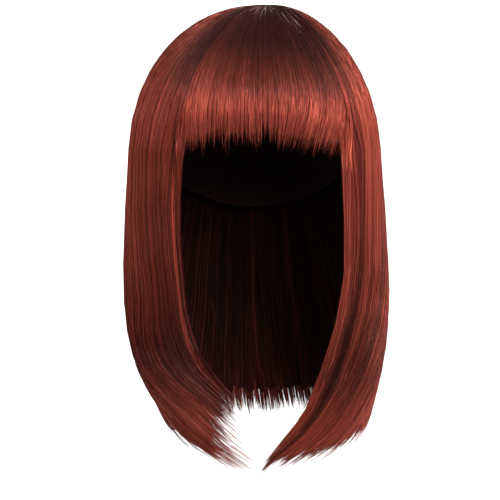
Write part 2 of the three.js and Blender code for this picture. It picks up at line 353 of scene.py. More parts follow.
@dataclass(frozen=True)
class HairFinish:
    """Glossy auburn red fibre whose tone changes from strand to strand.

    Deep to light are its colours by tone. Root is the dark colour that the root attribute lays in, which is
    painted shade over the top of the front and round the crown, and dull is what its roughness, metallic and
    specular become there.
    """

    name: str = "auburn_fibre"
    deep: Colour = (0.018, 0.0026, 0.0017)
    dark: Colour = (0.085, 0.0115, 0.0068)
    middle: Colour = (0.24, 0.034, 0.0205)
    light: Colour = (0.5, 0.09, 0.055)
    # The root colour is painted shade, laid over the top front and round the crown
    root: Colour = (0.009, 0.002, 0.0016)
    roughness: float = 0.36
    metallic: float = 0.5
    specular: float = 0.5
    dull: tuple[float, float, float] = (0.72, 0.05, 0.12)
    glint: Colour = (1.0, 0.72, 0.66)
    streaks: bool = False
    streak_scale: Spot = (260.0, 3.0, 1.0)
    streak_tone: float = 0.9
    streak_depth: float = 0.35 * MM

    def build(self) -> bpy.types.Material:
        """Build the material.

        Returns:
            The material, read from the tone and root attributes and, on a solid lock, from its UV map.
        """
        bench = Bench(self.name)
        kind = "ShaderNodeAttribute"
        tone, root = (bench.add(kind, {}, attribute_name=name).outputs["Fac"] for name in ("tone", "root"))
        if self.streaks:
            tone = self._add_streaks(bench, tone)
        ramp = bench.add("ShaderNodeValToRGB", {"Fac": tone})
        stops = ramp.color_ramp.elements
        stops[0].color, stops[1].color = opaque(self.deep), opaque(self.light)
        for place, colour in ((0.3, self.dark), (0.6, self.middle)):
            stops.new(place).color = opaque(colour)
        # The root attribute mixes in the root colour: painted shade over the top front and round the crown
        base = bench.blend(root, ramp.outputs["Color"], opaque(self.root))
        bench.feed(bench.shader, {"Specular Tint": opaque(self.glint), "Base Color": base})
        gloss = (self.roughness, self.metallic, self.specular)
        for label, clear, dull in zip(("Roughness", "Metallic", "Specular IOR Level"), gloss, self.dull):
            fade = bench.add("ShaderNodeMapRange", {"Value": root, "To Min": clear, "To Max": dull})
            bench.feed(bench.shader, {label: fade.outputs["Result"]})
        return bench.material

    def _add_streaks(self, bench: Bench, tone: bpy.types.NodeSocket) -> bpy.types.NodeSocket:
        """Draw fine strands along the lock, in tone and in relief.

        Args:
            bench: The material being wired.
            tone: The tone before the streaks.

        Returns:
            The tone with its streaks.
        """
        uv = bench.add("ShaderNodeUVMap", {}, uv_map=UV_MAP)
        stretch = bench.add("ShaderNodeMapping", {"Vector": uv.outputs["UV"], "Scale": self.streak_scale})
        grain = {"Vector": stretch.outputs["Vector"], "Scale": 1.0, "Detail": 3.0}
        streak = bench.add("ShaderNodeTexNoise", grain).outputs["Fac"]
        swing = {0: streak, 1: self.streak_tone, 2: -0.5 * self.streak_tone}
        shift = bench.add("ShaderNodeMath", swing, operation="MULTIPLY_ADD")
        total = bench.add("ShaderNodeMath", {0: tone, 1: shift.outputs["Value"]}, operation="ADD")
        bench.emboss(streak, self.streak_depth, 0.8)
        return total.outputs["Value"]


@dataclass(frozen=True)
class NetFinish:
    """Dark stretch net of the cap, with rows of stitching that run round it."""

    name: str = "cap_net"
    thread: Colour = (0.02, 0.0085, 0.007)
    gap: Colour = (0.005, 0.0022, 0.0018)
    rows: float = 190.0
    holes: float = 700.0
    relief: float = 0.4 * MM

    def build(self) -> bpy.types.Material:
        """Build the material.

        Returns:
            The net, on Object coordinates.
        """
        bench = Bench(self.name)
        place = bench.add("ShaderNodeTexCoord", {}).outputs["Object"]
        stitching = {"Vector": place, "Scale": self.rows, "Distortion": 0.6, "Detail": 1.0}
        rows = bench.add("ShaderNodeTexWave", stitching, bands_direction="Z").outputs["Fac"]
        net = bench.add("ShaderNodeTexVoronoi", {"Vector": place, "Scale": self.holes})
        height = bench.add("ShaderNodeMath", {0: rows, 1: net.outputs["Distance"]}, operation="MULTIPLY")
        base = bench.blend(rows, opaque(self.gap), opaque(self.thread))
        bench.feed(bench.shader, {"Roughness": 0.9, "Specular IOR Level": 0.06, "Base Color": base})
        bench.emboss(height.outputs["Value"], self.relief, 0.7)
        return bench.material


@dataclass(frozen=True)
class PaperFinish:
    """Plain white paper of the floor and backdrop, lit a little from behind, with a faint grain."""

    name: str = "white_paper"
    white: Colour = (0.92, 0.92, 0.92)
    grain: Colour = (0.94, 0.94, 0.94)
    grain_scale: float = 40.0
    glow: float = 0.2

    def build(self) -> bpy.types.Material:
        """Build the material.

        Returns:
            The paper.
        """
        bench = Bench(self.name)
        noise = bench.add("ShaderNodeTexNoise", {"Scale": self.grain_scale})
        base = bench.blend(noise.outputs["Fac"], opaque(self.white), opaque(self.grain))
        bench.feed(bench.shader, {"Roughness": 0.95, "Specular IOR Level": 0.1, "Base Color": base})
        bench.feed(bench.shader, {"Emission Color": (1, 1, 1, 1), "Emission Strength": self.glow})
        return bench.material


@dataclass(frozen=True)
class StrandRun:
    """How one run of strands is laid.

    Distances are in metres. Start is the station where they begin, 0 for the root. Depth is the range of
    their place in the thickness of the hair. Feather is the length over which they come to an end, and
    reach how far past the cut the longest go. Gather is how strongly they draw together in their lock and
    in their clump, tuft how much more their tips do so in the lock, and curl how many degrees the tips
    bend aside. Untrimmed strands don't follow the piece's own trim.
    """

    layer: Layer
    count: int
    start: float = 0.0
    depth: Span = (0.9, 1.03)
    width: float = 0.4 * MM
    wander: float = 0.1
    curl: float = 0.0
    tuft: float = 0.0
    shorter: float = 3 * MM
    feather: float = 16 * MM
    evenness: float = 1.6
    reach: float = 2 * MM
    gather: Span = (0.06, 0.22)
    contrast: float = 0.16
    trimmed: bool = True
    tone: float = 0.5


@dataclass
class StrandBatch:
    """Many strands, as centre lines with their radii, side directions, tones and shares of painted root shade.
    """

    runs: list[tuple[Array, ...]] = field(default_factory=list)

    def add(self, path: Array, radius: Array, side: Array, tone: Array, root: Array) -> None:
        """Add strands that all have the same number of knots."""
        self.runs.append((path, radius, side, tone, root))

    @staticmethod
    def _points(path: Array, radius: Array, side: Array) -> Array:
        """Find the three points round each knot.

        Args:
            path: The centre lines.
            radius: The radius at each knot.
            side: A direction across each strand.

        Returns:
            The points, strand by strand.
        """
        along = unit(np.gradient(path, axis=1))
        across = unit(np.cross(along, side))
        up = np.cross(across, along)
        ring = np.radians(90 + np.array([0, 120, 240]))[None, None, :, None]
        spoke = np.cos(ring) * across[:, :, None] + np.sin(ring) * up[:, :, None]
        return (path[:, :, None] + radius[:, :, None, None] * spoke).reshape(-1, 3)

    @staticmethod
    def _faces(first: int, count: int, knots: int) -> tuple[Array, Array]:
        """Number the corners of the faces.

        Args:
            first: The number of the first point.
            count: How many strands there are.
            knots: How many knots each has.

        Returns:
            The quads along the strands, and the triangles that close their roots and tips.
        """
        base = first + np.arange(count)[:, None, None] * knots * 3
        knot = np.arange(knots - 1)[None, :, None]
        edge = np.arange(3)[None, None, :]
        after = (edge + 1) % 3
        around = ((knot, edge), (knot, after), (knot + 1, after), (knot + 1, edge))
        quads = np.stack([base + row * 3 + corner for row, corner in around], axis=-1).reshape(-1, 4)
        roots = base[:, 0] + np.array([2, 1, 0])
        tips = base[:, 0] + (knots - 1) * 3 + np.array([0, 1, 2])
        return quads, np.concatenate([roots, tips])

    @staticmethod
    def _cells(cell: int, count: int, knots: int, columns: int, rows: int) -> Array:
        """Give each strand a cell of its own in the UV map.

        Args:
            cell: The number of the first cell.
            count: How many strands there are.
            knots: How many knots each has.
            columns: How many columns of cells the map has.
            rows: How many rows of cells the map has.

        Returns:
            The places of the faces' corners in the map.
        """
        number = cell + np.arange(count)
        left = (number % columns)[:, None, None, None] / columns
        low = (number // columns)[:, None, None, None] / rows
        knot = np.arange(knots - 1)[None, :, None]
        edge = np.arange(3)[None, None, :]
        u = left + (0.1 + 0.8 * np.stack([edge, edge + 1, edge + 1, edge], -1) / 3) / columns
        v = low + (0.04 + 0.92 * np.stack([knot, knot, knot + 1, knot + 1], -1) / (knots - 1)) / rows
        along = np.stack(np.broadcast_arrays(u, v), -1).reshape(-1, 2)
        end_u = np.tile(left[:, 0, 0] + np.array([0.1, 0.5, 0.9]) / columns, (2, 1))
        heights = ((0.01, 0.03, 0.01), (0.97, 0.99, 0.97))
        end_v = np.concatenate([low[:, 0, 0] + np.array(height) / rows for height in heights])
        return np.concatenate([along, np.stack([end_u, end_v], -1).reshape(-1, 2)])

    def mesh(self, name: str, material: bpy.types.Material) -> bpy.types.Object:
        """Make one object of closed three-sided tubes.

        Args:
            name: The piece's name.
            material: Its finish.

        Returns:
            The new object.
        """
        total = sum(len(run[0]) for run in self.runs)
        columns = max(1, int(math.sqrt(total * 12)))
        rows = math.ceil(total / columns)
        points, tones, roots, corners, starts, places = [], [], [], [], [], []
        first = cell = loops = 0
        for path, radius, side, tone, root in self.runs:
            count, knots = path.shape[:2]
            points.append(self._points(path, radius, side))
            tones.append(np.repeat(tone, 3, axis=1).ravel())
            roots.append(np.repeat(root, 3, axis=1).ravel())
            quads, ends = self._faces(first, count, knots)
            corners += [quads.ravel(), ends.ravel()]
            starts += [loops + np.arange(len(quads)) * 4, loops + len(quads) * 4 + np.arange(len(ends)) * 3]
            places.append(self._cells(cell, count, knots, columns, rows))
            loops += len(quads) * 4 + len(ends) * 3
            first += count * knots * 3
            cell += count
        mesh = bpy.data.meshes.new(name)
        cloud, corner, start = np.concatenate(points), np.concatenate(corners), np.concatenate(starts)
        mesh.vertices.add(len(cloud))
        mesh.vertices.foreach_set("co", cloud.astype(np.float32).ravel())
        mesh.loops.add(len(corner))
        mesh.loops.foreach_set("vertex_index", corner.astype(np.int32))
        mesh.polygons.add(len(start))
        mesh.polygons.foreach_set("loop_start", start.astype(np.int32))
        mesh.update(calc_edges=True)
        mesh.polygons.foreach_set("use_smooth", np.ones(len(start), dtype=bool))
        store(mesh, "tone", np.concatenate(tones))
        # The root attribute holds shares of painted shade over the top front and round the crown
        store(mesh, "root", np.concatenate(roots))
        sheet = mesh.uv_layers.new(name=UV_MAP)
        sheet.data.foreach_set("uv", np.concatenate(places).astype(np.float32).ravel())
        mesh.materials.append(material)
        piece = bpy.data.objects.new(name, mesh)
        bpy.context.scene.collection.objects.link(piece)
        return piece


def ride(piece: bpy.types.Object, slot: str, *nodes: str) -> None:
    """Hand a finished piece to the frame and report it.

    Args:
        piece: The piece.
        slot: Not used.
        nodes: The solids that it stands for.
    """
    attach(piece, "root")
    if nodes:
        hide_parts(*nodes)
    piece.data.calc_loop_triangles()
    LOG.info("%s: %d triangles", piece.name, len(piece.data.loop_triangles))


@dataclass
class HairPiece:
    """One piece of hair: a wall of locks and the strands that lie over it.

    It goes round the wig from start to stop, in degrees, as the widths of locks and clumps are. Face_side
    is 1 or -1 where its stop or its start lies beside the opening. Down and across are shifts of tone, trim is
    how many millimetres shorter it is cut, and steer how many degrees the hair swings aside as it falls.
    """

    flow: HairFlow
    node: str
    slot: str
    start: float
    stop: float
    hangs: bool
    seed: int
    runs: tuple[StrandRun, ...]
    lock_width: float = 3.6
    clump_width: float = 1.25
    lock_depth: float = 0.34 * MM
    column_width: float = 0.8
    root_station: float = 0.035
    under: float = 2.2 * MM
    wall_stop: float = 0.9
    uneven: float = 1.6 * MM
    ripple: float = 0.08 * MM
    face_side: int = 0
    overlap: float = 3.5
    overlap_lift: float = 1.3 * MM
    tip_drift: float = 0.0
    crowd: float = 0.0
    down: SmoothTable = SmoothTable(("station", "tone"), ((0.0, 0.0), (2.0, 0.0)))
    across: SmoothTable = SmoothTable(("turn", "tone"), ((-180.0, 0.0), (180.0, 0.0)))
    trim: SmoothTable = SmoothTable(("turn", "shorter"), ((-180.0, 0.0), (180.0, 0.0)))
    steer: SmoothTable = SmoothTable(("turn", "shift"), ((-180.0, 0.0), (180.0, 0.0)))

    def __post_init__(self) -> None:
        """Lay out the locks and clumps round the wig."""
        self.rng = np.random.default_rng(self.seed)
        self.locks = self._edges(self.lock_width)
        self.clumps = self._edges(self.clump_width)
        self.lock_tone = self.rng.normal(0, 1, len(self.locks))
        self.clump_tone = self.rng.normal(0, 1, len(self.clumps))
        self.lock_length = self.rng.normal(0, 1, len(self.locks))
        self.clump_length = self.rng.normal(0, 1, len(self.clumps))
        self.clump_phase = self.rng.uniform(0, 2 * math.pi, len(self.clumps))

    @property
    def face_turn(self) -> float:
        """The turn of the edge beside the opening."""
        return self.stop if self.face_side > 0 else self.start

    def turn_at(self, share: Array) -> Array:
        """Find the turn at a share of the way round the piece, where crowd draws turns to the middle.

        Args:
            share: Shares from 0 to 1.

        Returns:
            Degrees round the wig.
        """
        side = 2 * share - 1
        side = side * (1 - self.crowd * (1 - side * side))
        return mix(self.start, self.stop, (side + 1) / 2)

    def _edges(self, width: float) -> Array:
        """Divide the piece, and 6 degrees on either side of it, into bands of uneven width."""
        steps = self.rng.uniform(0.55, 1.45, int((self.stop - self.start + 12) / width))
        return self.start - 6 + np.concatenate([[0], np.cumsum(steps)]) * width

    @staticmethod
    def _band(edges: Array, turn: Array) -> tuple[Array, Array, Array]:
        """Find the band that a turn lies in.

        Args:
            edges: Edges of the bands.
            turn: Degrees round the wig.

        Returns:
            The band's number, its centre, and the place in it from -1 to 1.
        """
        i = np.clip(np.searchsorted(edges, turn, side="right") - 1, 0, len(edges) - 2)
        centre = (edges[i] + edges[i + 1]) / 2
        return i, centre, np.clip((turn - centre) / ((edges[i + 1] - edges[i]) / 2), -1, 1)

    def _trim_at(self, turn: Array) -> Array:
        """Find how much shorter the piece is cut at a turn, in metres."""
        return self.trim.at("shorter", compass(turn)) * MM

    def drop_at(self, turn: Array) -> Array:
        """Find how far below the crown the hair ends.

        Args:
            turn: Degrees round the wig.

        Returns:
            Distances in metres.
        """
        flow = self.flow
        longest, ends = (flow.drop, flow.ends) if self.hangs else (flow.fringe_drop, flow.fringe_ends)
        return longest * ends.at("drop", compass(turn)) - self._trim_at(turn)

    def relief(self, turn: Array, share: Array) -> Array:
        """Find how far the hair sinks between locks.

        Args:
            turn: Degrees round the wig.
            share: Place along the hair, from root to end.

        Returns:
            Depths in metres.
        """
        in_lock, in_clump = self._band(self.locks, turn)[2], self._band(self.clumps, turn)[2]
        furrow = np.abs(in_lock) ** 3 + 0.3 * np.abs(in_clump) ** 3
        return self.lock_depth * furrow * smoothstep(share, *FURROWS)

    def painted_crown_brow_shade(self, turn: Array, station: Array) -> Array:
        """Find how much painted shade darkens the hair over the top of the front, where it faces up away from
        the lamps, and round the crown, where it also stands for darker roots.
            station: Stations down the hair.

        Returns:
            Shares of the root colour, which is painted shade.
        """
        from_face = np.abs(compass(turn) - 6.0)
        brow = (1 - smoothstep(from_face, 42.0, 76.0)) * (1 - smoothstep(station, 0.42, 0.86))
        crown = 1 - smoothstep(station, 0.04, 0.3)
        return np.clip(0.86 * brow + 0.55 * crown, 0, 0.9)

    def tone_at(self, turn: Array) -> Array:
        """Find how much lighter or darker a broad band of the hair is.

        Args:
            turn: Degrees round the wig.

        Returns:
            Shifts of tone.
        """
        around = np.radians(turn)
        streaks = 0.02 * np.sin(31 * around + self.seed) + 0.02 * np.sin(17 * around + 2.0 * self.seed)
        return streaks + self.across.at("tone", compass(turn))

    def _edge_thinning(self, turn: Array, station: Array, least: float) -> Array:
        """Find how much thinner the hanging hair is beside the opening.

        Args:
            turn: Degrees round the wig.
            station: Stations down the hair.
            least: What is left at the very edge.

        Returns:
            Shares of the thickness.
        """
        if not self.face_side:
            return np.ones_like(station)
        edge = mix(least, 1.0, smoothstep(np.abs(turn - self.face_turn), 0.0, 3.0))
        return mix(1.0, edge, smoothstep(station, *EDGE_THINNING))

    def build(self) -> None:
        """Build the wall and the strands."""
        self._build_wall()
        self._build_strands()

    def _build_wall(self) -> None:
        """Shape a grid into the outer face of the locks, give it a wall and dress it."""
        columns = int((self.stop - self.start) / self.column_width)
        bpy.ops.object.select_all(action="DESELECT")
        bpy.ops.mesh.primitive_grid_add(
            x_subdivisions=columns, y_subdivisions=44 if self.hangs else 28, size=2.0
        )
        piece = bpy.context.object
        piece.name = piece.data.name = f"{self.node}_locks"
        thick = self._shape_sheet(piece.data, columns)
        wall = piece.vertex_groups.new(name="wall")
        for index, depth in enumerate(thick - 0.6 * MM):
            wall.add([index], float(np.clip(depth / self.flow.volume, 0.03, 1.0)), "REPLACE")
        for finish in ("locks", "inner_locks"):
            piece.data.materials.append(FINISHES[finish])
        self._face_outwards(piece)
        solid = piece.modifiers.new("wall", "SOLIDIFY")
        solid.thickness = self.flow.volume
        solid.offset = -1.0
        solid.vertex_group = "wall"
        solid.thickness_vertex_group = 0.0
        solid.material_offset = 1
        bpy.ops.object.modifier_apply(modifier="wall")
        bpy.ops.object.shade_smooth()
        ride(piece, self.slot, self.node)

    def _shape_sheet(self, mesh: bpy.types.Mesh, columns: int) -> Array:
        """Bring a grid to the outer face of the locks, with its tones.

        Args:
            mesh: The grid, from -1 to 1 along x and y.
            columns: How many columns of faces it has.

        Returns:
            How far outside the hair's inner surface each point lies.
        """
        flat = np.empty(len(mesh.vertices) * 3)
        mesh.vertices.foreach_get("co", flat)
        flat = flat.reshape(-1, 3)
        round_piece, share = (flat[:, 0] + 1) / 2, (1 - flat[:, 1]) / 2
        turn = self.turn_at(mix(0.001, 0.999, round_piece))
        lock, clump = self._band(self.locks, turn)[0], self._band(self.clumps, turn)[0]
        frayed = self.rng.uniform(-1, 1, columns + 2)[np.rint(round_piece * columns).astype(int)]
        lengths = 0.7 * self.lock_length[lock] + 0.7 * self.clump_length[clump]
        drop = self.drop_at(turn) * self.wall_stop + self.uneven * (lengths + 1.5 * frayed)
        station = mix(self.root_station, self.flow.station_at(drop), share)
        thick = self.flow.thickness(turn, station) - self.under - self.relief(turn, share)
        thick = thick * self._edge_thinning(turn, station, 0.35)
        thick = mix(thick, np.minimum(thick, 3 * MM), smoothstep(share, 0.9 if self.hangs else 0.75, 1.0))
        place = self.flow.point(turn, station, self.flow.seat)
        place = place + self.flow.outward(turn, station) * thick[:, None]
        mesh.vertices.foreach_set("co", place.astype(np.float32).ravel())
        mesh.uv_layers[0].name = UV_MAP
        tone = 0.33 + 0.03 * self.lock_tone[lock] + self.tone_at(turn) + self.down.at("tone", station)
        store(mesh, "tone", tone)
        store(mesh, "root", self.painted_crown_brow_shade(turn, station))
        mesh.update()
        return thick

    def _face_outwards(self, piece: bpy.types.Object) -> None:
        """Turn the faces of a sheet outwards.

        Args:
            piece: The sheet.
        """
        middle = piece.data.polygons[len(piece.data.polygons) // 2]
        centre = Vector((0.0, 0.0, min(middle.center.z, -self.flow.rise)))
        if middle.normal.dot(middle.center - centre) < 0:
            bpy.ops.object.mode_set(mode="EDIT")
            bpy.ops.mesh.select_all(action="SELECT")
            bpy.ops.mesh.flip_normals()
            bpy.ops.object.mode_set(mode="OBJECT")

    def _build_strands(self) -> None:
        """Lay every run of strands and join them into an outer piece, an end piece and an inner piece."""
        pieces = (
            ("strands", "strands", (Layer.OUTER, Layer.FACE_EDGE)),
            ("ends", "strands", (Layer.ENDS, Layer.STRAY)),
            ("inner_strands", "inner_strands", (Layer.INNER,)),
        )
        for name, finish, layers in pieces:
            batch = StrandBatch()
            for run in self.runs:
                if run.layer in layers and (self.face_side or run.layer is not Layer.FACE_EDGE):
                    self._lay(run, batch)
            if batch.runs:
                ride(batch.mesh(f"{self.node}_{name}", FINISHES[finish]), self.slot)

    def _turns(self, run: StrandRun) -> Array:
        """Spread the strands of a run round the wig.

        Args:
            run: The run.

        Returns:
            Degrees round the wig.
        """
        spread = (np.arange(run.count) + self.rng.uniform(0, 1, run.count)) / run.count
        if run.layer is Layer.FACE_EDGE:
            return self.face_turn - self.face_side * mix(-0.4, 2.0, spread)
        return self.turn_at(mix(-0.006, 1.006, spread))

    def _span(self, run: StrandRun, turn: Array) -> tuple[Array, Array]:
        """Choose where each strand begins and ends.

        Args:
            run: The run.
            turn: Each strand's turn.

        Returns:
            First and last stations.
        """
        rng, count = self.rng, run.count
        lock, clump = self._band(self.locks, turn)[0], self._band(self.clumps, turn)[0]
        shorter = run.shorter * np.abs(rng.normal(0, 1, count)) - run.reach
        shorter += run.feather * rng.random(count) ** run.evenness
        shorter += np.where(rng.random(count) < 0.08, run.feather * rng.uniform(0, 3, count), 0)
        uneven = self.uneven * (self.lock_length[lock] + self.clump_length[clump])
        final = turn + self.steer.at("shift", compass(turn))
        drop = self.drop_at(final) + (0.0 if run.trimmed else self._trim_at(final))
        end = self.flow.station_at(np.maximum(drop + uneven - shorter, 30 * MM))
        if run.layer is Layer.STRAY:
            begin = rng.uniform(0.1, 0.85, count) * end
            return begin, np.minimum(begin + rng.uniform(0.12, 0.45, count), end + 0.01)
        if run.start > 0:
            return run.start + rng.uniform(0, 0.12, count), end
        return self.root_station + rng.uniform(-0.012, 0.03, count), end

    def _stations(self, run: StrandRun, begin: Array, end: Array) -> Array:
        """Place the knots of each strand, closer together where it bends.

        Args:
            run: How the strands are laid.
            begin: Each strand's first station.
            end: Each strand's last station.

        Returns:
            Stations, a row for each strand.
        """
        begin, end = begin[:, None], end[:, None]
        if run.layer is Layer.STRAY:
            return mix(begin, end, np.linspace(0, 1, 7)[None])
        if not self.hangs:
            knots = np.linspace(0, 1, 8 if run.start > 0 else 12)[None]
            return mix(begin, end, knots ** self.rng.uniform(0.95, 1.15, begin.shape))
        if run.start > 0:
            return mix(begin, end, np.linspace(0, 1, 8 if run.layer is Layer.FACE_EDGE else 6)[None] ** 0.9)
        over = np.linspace(0, 1, 10)[None, :-1] ** self.rng.uniform(0.95, 1.3, begin.shape)
        return np.concatenate([mix(begin, 1.0, over), mix(1.0, end, np.array([HANGING_KNOTS]))], axis=1)

    def _lay(self, run: StrandRun, batch: StrandBatch) -> None:
        """Lay one run of strands along the flow of the hair.

        Args:
            run: How the strands are laid.
            batch: What takes them.
        """
        rng, flow, each = self.rng, self.flow, (run.count, 1)
        turn = self._turns(run)
        begin, end = self._span(run, turn)
        station = self._stations(run, begin, end)
        share = (station - begin[:, None]) / (end - begin)[:, None]
        steer = self.steer.at("shift", compass(turn))
        full = flow.station_at(self.drop_at(turn + steer))[:, None]
        whole = (station - self.root_station) / (full - self.root_station)
        phase = rng.uniform(0, 2 * math.pi, each)
        stray = np.abs(rng.normal(0, 1, each))
        waves = np.sin(phase + whole * rng.uniform(3, 9, each)) * smoothstep(whole, *WAVING)
        path_turn = (
            turn[:, None]
            + steer[:, None] * smoothstep(station, *STEERING)
            + run.wander * stray * waves
            + self._gathering(run, turn, whole)
            + self.tip_drift * smoothstep(turn, 5.0, 30.0)[:, None] * smoothstep(whole, *DRIFTING)
        )
        near_face = self._near_face(turn, station)
        path_turn = path_turn + self.overlap * self.face_side * near_face
        depth = rng.uniform(*run.depth, each)
        thick = flow.thickness(path_turn, station)
        thinning = smoothstep(whole, 0.84 if self.hangs else 0.66, 1.0)
        thick = mix(thick, np.minimum(thick, 4.5 * MM), thinning)
        thick = thick * self._edge_thinning(path_turn, station, 0.45)
        lift = self._lift(turn, whole, phase) + self.overlap_lift * near_face
        if run.layer is Layer.STRAY:
            path_turn = path_turn + rng.normal(0, 2.5, each) * share**1.5
            lift = lift + 2.2 * MM * stray * share**1.4
        if run.layer is not Layer.INNER:
            lift = lift - self.relief(path_turn, whole)
        outward = flow.outward(path_turn, station)
        path = flow.point(path_turn, station, flow.seat) + outward * (thick * depth + lift)[..., None]
        radius = 0.5 * run.width * self._taper(station, end, whole) * rng.uniform(0.75, 1.2, each)
        side = outward + rng.normal(0, 0.5, (run.count, 1, 3))
        tone = self._tones(run, turn, depth[:, 0])[:, None]
        # Inner strands carry painted shade, which lifts towards their tips
        if run.layer is Layer.INNER:
            tone = tone + 0.6 * smoothstep(whole, *INNER_TIPS)
        else:
            tone = tone + self.down.at("tone", station)
        batch.add(path, radius, side, np.clip(tone, 0.02, 1.0), self.painted_crown_brow_shade(path_turn, station))

    def _gathering(self, run: StrandRun, turn: Array, whole: Array) -> Array:
        """Find how far strands turn aside as they curl and draw together.

        Args:
            run: How the strands are laid.
            turn: Each strand's turn.
            whole: The knots' places from root to end.

        Returns:
            Degrees round the wig.
        """
        curl = run.curl * self.rng.normal(0, 1, (run.count, 1)) * smoothstep(whole, *CURLING) ** 2
        gather = smoothstep(whole, *GATHERING)
        bands = (self.locks, self.clumps)
        to_lock, to_clump = ((self._band(edges, turn)[1] - turn)[:, None] for edges in bands)
        uneven = self.rng.uniform(0.2, 1.6, (run.count, 1))
        in_lock = to_lock * (run.gather[0] * gather + run.tuft * smoothstep(whole, *TUFTING))
        return curl + in_lock + to_clump * run.gather[1] * uneven * gather

    def _near_face(self, turn: Array, station: Array) -> Array:
        """Find how much a strand belongs to the edge that laps over the fringe.

        Args:
            turn: Each strand's turn.
            station: Stations down the hair.

        Returns:
            Shares from 0 to 1.
        """
        if not self.face_side:
            return np.zeros_like(station)
        near = 1 - smoothstep(np.abs(turn - self.face_turn), 0.0, 12.0)[:, None]
        return near * (1 - smoothstep(station, *OVERLAP_OFF)) * smoothstep(station, *OVERLAP_ON)

    def _lift(self, turn: Array, whole: Array, phase: Array) -> Array:
        """Find how far strands ripple and stand off.

        Args:
            turn: Each strand's turn.
            whole: The knots' places from root to end.
            phase: Where each strand's own ripple starts.

        Returns:
            Distances in metres.
        """
        loose = 0.4 * MM * self.rng.normal(0, 1, phase.shape) * smoothstep(whole, *LOOSENING)
        pace = (9.0 if self.hangs else 4.0) * whole
        together = np.sin(self.clump_phase[self._band(self.clumps, turn)[0]][:, None] + 2.0 * pace)
        alone = np.sin(2 * phase + pace * self.rng.uniform(1.5, 3.5, phase.shape))
        return loose + self.ripple * (together + alone)

    def _taper(self, station: Array, end: Array, whole: Array) -> Array:
        """Find how thin strands are near the crown, at their tips and, on the fringe, towards its edge.

        Args:
            station: Stations down the hair.
            end: Each strand's last station.
            whole: The knots' places from root to end.

        Returns:
            Shares of the full width.
        """
        tip = mix(0.25, 1.0, smoothstep(end[:, None] - station, 0.0, 0.045))
        crown = mix(0.55, 1.0, smoothstep(station, 0.05, 0.6))
        return tip * crown * mix(1.0, 1.0 if self.hangs else 0.62, smoothstep(whole, *FRINGE_TAPER))

    def _tones(self, run: StrandRun, turn: Array, depth: Array) -> Array:
        """Choose each strand's tone, with some strands clearly lighter or darker.

        Args:
            run: How the strands are laid.
            turn: Each strand's turn.
            depth: Each strand's place in the thickness of the hair.

        Returns:
            Tones.
        """
        lock, clump = self._band(self.locks, turn)[0], self._band(self.clumps, turn)[0]
        tone = run.tone + self.tone_at(turn) + 0.025 * self.lock_tone[lock] + 0.022 * self.clump_tone[clump]
        tone = tone + run.contrast * self.rng.normal(0, 1, run.count)
        chance = self.rng.random(run.count)
        tone = tone + np.where(chance < 0.08, 0.25, 0.0) - np.where(chance > 0.88, 0.2, 0.0)
        # Outer strands that lie deeper in the hair are darkened: painted shade
        if run.layer is Layer.OUTER:
            tone = tone - 1.2 * np.clip(0.97 - depth, 0, 0.1)
        return tone


def hanging_runs(
    outer: int, ends: int, wisps: int, edge_tone: float = 0.5, tuft: float = 0.45, feather: float = 18 * MM
) -> tuple[StrandRun, ...]:
    """List the runs of strands of a piece that hangs.

    Args:
        outer: How many strands lie over the piece.
        ends: How many fill its ends.
        wisps: How many fine ones stand out of its ends.
        edge_tone: The tone of the edge along the opening.
        tuft: How far the tips draw together.
        feather: The length over which the strands come to an end.

    Returns:
        The runs.
    """
    return (
        StrandRun(
            Layer.OUTER, outer, gather=(0.03, 0.12), tuft=tuft, wander=0.08, feather=feather, contrast=0.11
        ),
        StrandRun(
            Layer.ENDS, ends, start=1.55, depth=(0.15, 1.0), wander=0.3, feather=feather, tuft=tuft,
            tone=0.47,
        ),
        StrandRun(
            Layer.ENDS, wisps, start=1.64, depth=(0.5, 1.1), width=0.3 * MM, wander=0.4, curl=3.6,
            shorter=1 * MM, feather=22 * MM, evenness=1.3, reach=9 * MM, tuft=0.15, trimmed=False,
            contrast=0.12,
        ),
        StrandRun(
            Layer.INNER, round(0.3 * ends), start=1.0, depth=(-0.02, 0.04), wander=0.4, feather=feather,
            reach=-3 * MM, tuft=0.6 * tuft,
        ),
        StrandRun(Layer.STRAY, 40, width=0.2 * MM, wander=0.5, tone=0.6),
        StrandRun(Layer.FACE_EDGE, 120, start=0.8, depth=(0.05, 1.02), tone=edge_tone),
    )


